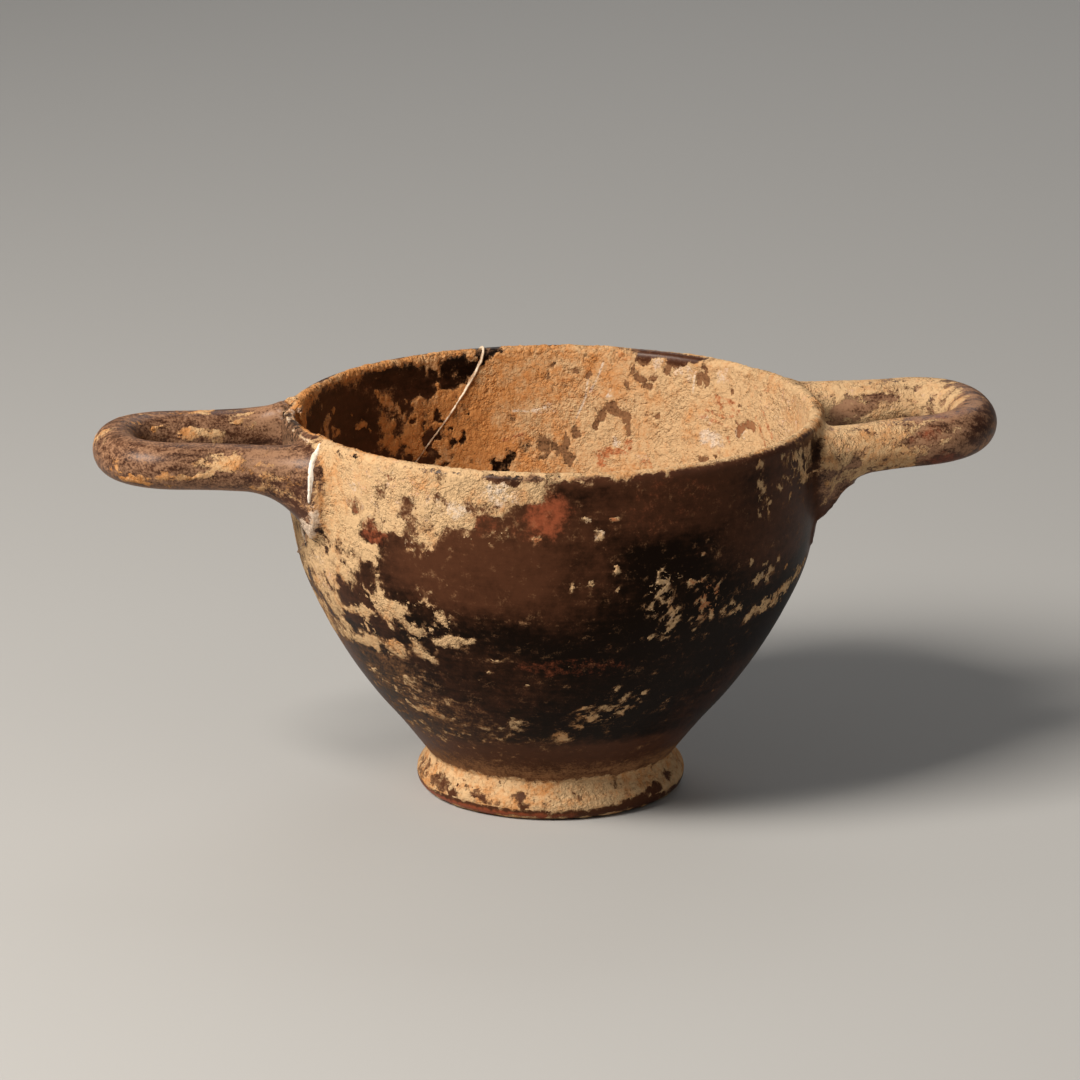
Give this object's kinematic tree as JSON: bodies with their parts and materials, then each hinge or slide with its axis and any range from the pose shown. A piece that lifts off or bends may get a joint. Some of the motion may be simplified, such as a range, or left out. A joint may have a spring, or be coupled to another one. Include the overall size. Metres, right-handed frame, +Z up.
{
  "type": "skyphos",
  "caption": "Deep turned drinking cup on a ring foot, with horizontal loop handles just below the rim; dark glaze, worn and crusted with earth.",
  "frame": {"origin": "centre of the foot's standing face, which is the middle of the underside of the whole cup", "axes": "+Z up through the open mouth, +X along the line of the handles, towards the shorter, thicker one"},
  "size_m": [0.2033, 0.1194, 0.0878],
  "materials": {
    "slipped_clay": "dark brown-black glaze slip with a worn sheen, largely covered by tan earth crust"
  },
  "bodies": {
    "root": {"skyphos": "slipped_clay"}
  },
  "joints": []
}
